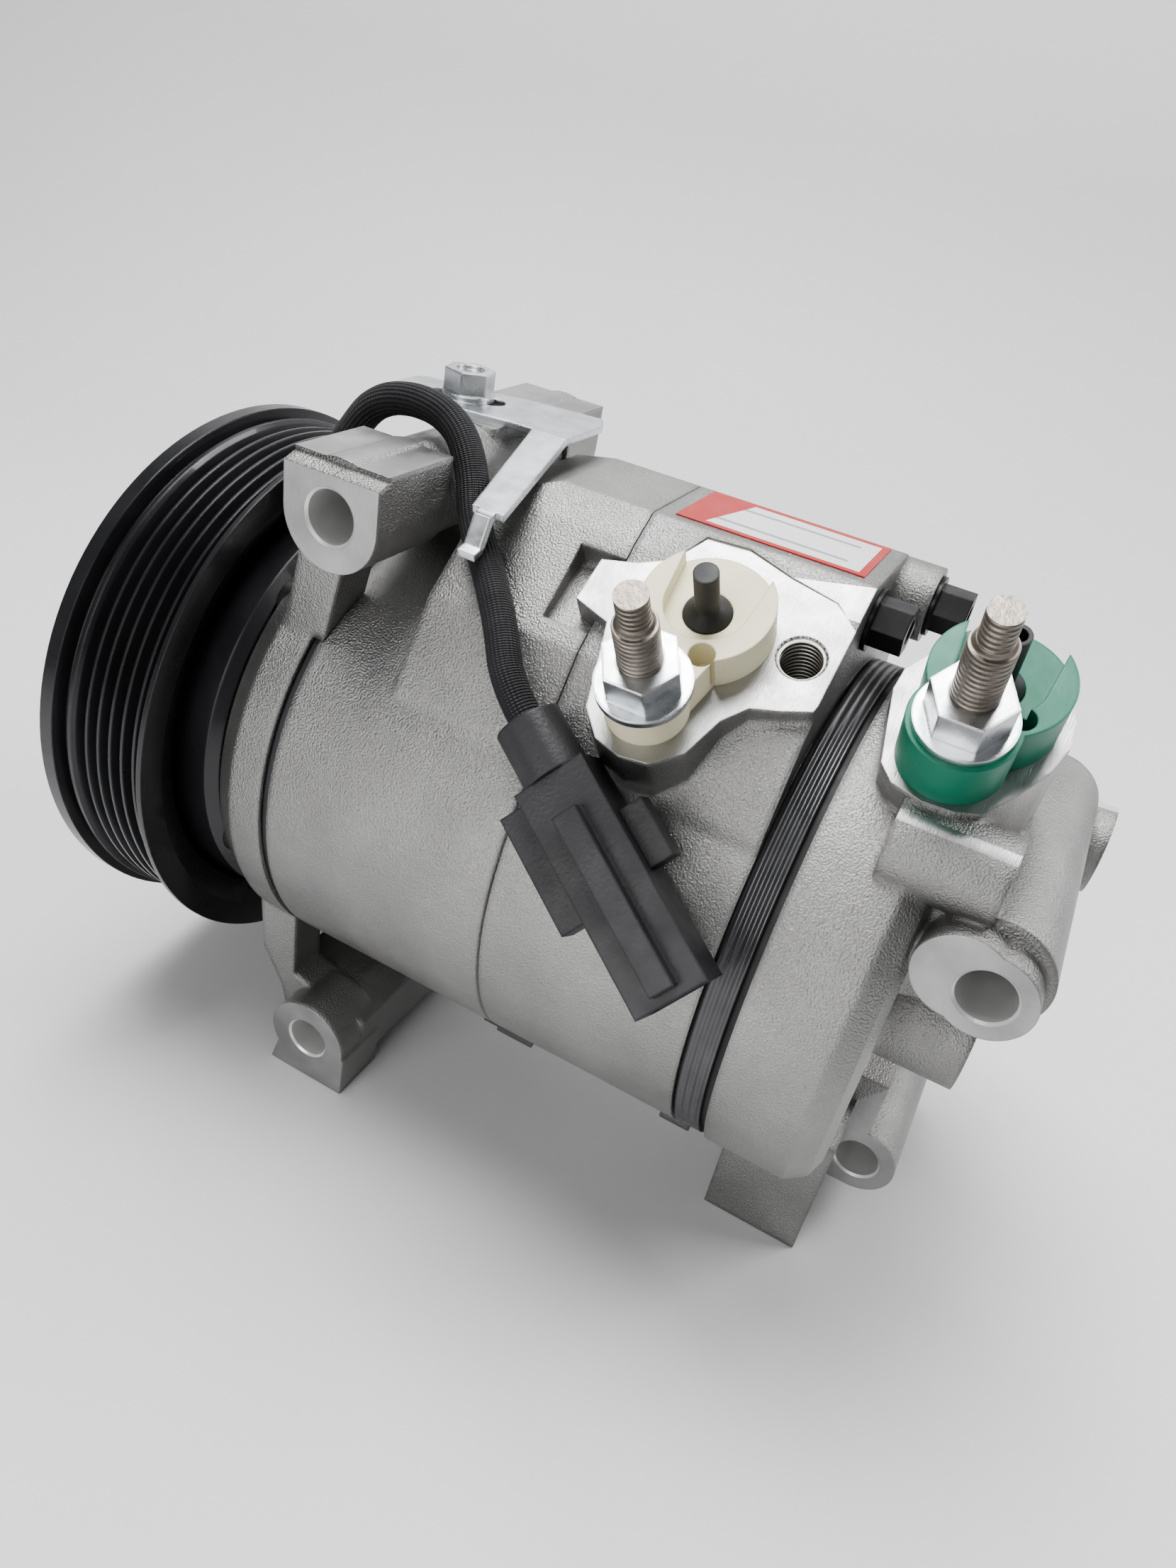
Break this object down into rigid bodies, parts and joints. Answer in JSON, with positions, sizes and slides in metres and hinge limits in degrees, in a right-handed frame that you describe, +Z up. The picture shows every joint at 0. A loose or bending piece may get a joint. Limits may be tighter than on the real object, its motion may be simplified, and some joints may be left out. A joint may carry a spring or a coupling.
{
  "type": "automotive air conditioning compressor",
  "caption": "Belt-driven swash-plate refrigerant compressor with an electromagnetic clutch, bored mounting ears, capped suction and discharge ports and a coil lead with a plug.",
  "frame": {"origin": "where the shaft axis crosses the middle plane of the belt grooves", "axes": "+Y along the shaft from the pulley to the rear housing, +Z up towards the upper mounting bar, +X towards the side with the ports and the plug"},
  "size_m": [0.1431, 0.2213, 0.178],
  "materials": {
    "cast_aluminium": "sand-grained casting",
    "machined_steel": "bright",
    "black_steel": "satin black",
    "coated_steel": "dark satin",
    "zinc_steel": "zinc plated",
    "stud_steel": "dull phosphated",
    "black_bolt": "black oxide",
    "plate_steel": "plain",
    "gasket_rubber": "matt",
    "piston_aluminium": "machined",
    "swash_iron": "ground",
    "bearing_brass": "polished",
    "ring_plastic": "matt",
    "copper_coil": "potted winding",
    "cream_plastic": "moulded",
    "green_plastic": "moulded",
    "black_rubber": "moulded",
    "black_sleeve": "braided",
    "black_plastic": "moulded",
    "tin_brass": "tinned",
    "label_film": "printed film"
  },
  "bodies": {
    "casing": {"bearing_snap_ring": "machined_steel", "bracket_bolt": "zinc_steel", "cable_bracket": "zinc_steel", "coil_gland": "black_plastic", "coil_lead": "black_sleeve", "coil_shell": "black_steel", "coil_snap_ring": "machined_steel", "connector_clip": "black_plastic", "connector_gland": "black_plastic", "connector_shell": "black_plastic", "connector_terminals": "tin_brass", "discharge_stud": "stud_steel", "field_coil": "copper_coil", "front_cylinder": "cast_aluminium", "front_gasket": "gasket_rubber", "front_housing": "cast_aluminium", "front_needle_bearing": "machined_steel", "front_reed_disc": "machined_steel", "front_seam_seal": "gasket_rubber", "front_thrust_bearing": "machined_steel", "front_valve_plate": "plate_steel", "label": "label_film", "lug_bolts": "black_bolt", "piston_1": "piston_aluminium", "piston_2": "piston_aluminium", "piston_3": "piston_aluminium", "piston_4": "piston_aluminium", "piston_5": "piston_aluminium", "piston_rings": "ring_plastic", "piston_shoes": "bearing_brass", "pulley_bearing_inner": "machined_steel", "rear_cylinder": "cast_aluminium", "rear_gasket": "gasket_rubber", "rear_housing": "cast_aluminium", "rear_needle_bearing": "machined_steel", "rear_reed_disc": "gasket_rubber", "rear_thrust_bearing": "machined_steel", "rear_valve_plate": "plate_steel", "seal_snap_ring": "machined_steel", "shaft_seal": "gasket_rubber", "suction_stud": "stud_steel", "swash_plate": "swash_iron", "through_bolts": "black_bolt"},
    "pulley": {"pulley": "black_steel", "pulley_bearing_outer": "machined_steel", "pulley_bearing_balls": "machined_steel"},
    "shaft": {"shaft": "machined_steel", "clutch_hub": "coated_steel", "hub_rivets": "machined_steel", "hub_bolt": "black_bolt", "hub_shims": "machined_steel"},
    "armature": {"armature_plate": "coated_steel", "armature_rivets": "machined_steel", "leaf_springs": "machined_steel"},
    "suction_cap_set": {"suction_nut": "zinc_steel", "suction_cap": "cream_plastic", "suction_plug": "black_rubber"},
    "discharge_cap_set": {"discharge_nut": "zinc_steel", "discharge_cap": "green_plastic", "discharge_plug": "black_rubber"}
  },
  "joints": [
    {"name": "pulley_spin", "type": "hinge", "parent": "casing", "child": "pulley", "pos_m": [0, 0, 0], "axis": [0, 1, 0], "continuous": true},
    {"name": "shaft_spin", "type": "hinge", "parent": "casing", "child": "shaft", "pos_m": [0, 0, 0], "axis": [0, 1, 0], "continuous": true},
    {"name": "armature_engage", "type": "slide", "parent": "shaft", "child": "armature", "axis": [0, 1, 0], "range_m": [0, 0.0004], "stiffness_N_per_m": 30000},
    {"name": "suction_cap_lift", "type": "slide", "parent": "casing", "child": "suction_cap_set", "axis": [0.5592, 0, 0.829], "range_m": [0, 0.045]},
    {"name": "discharge_cap_lift", "type": "slide", "parent": "casing", "child": "discharge_cap_set", "axis": [0.5, 0, 0.866], "range_m": [0, 0.045]}
  ]
}
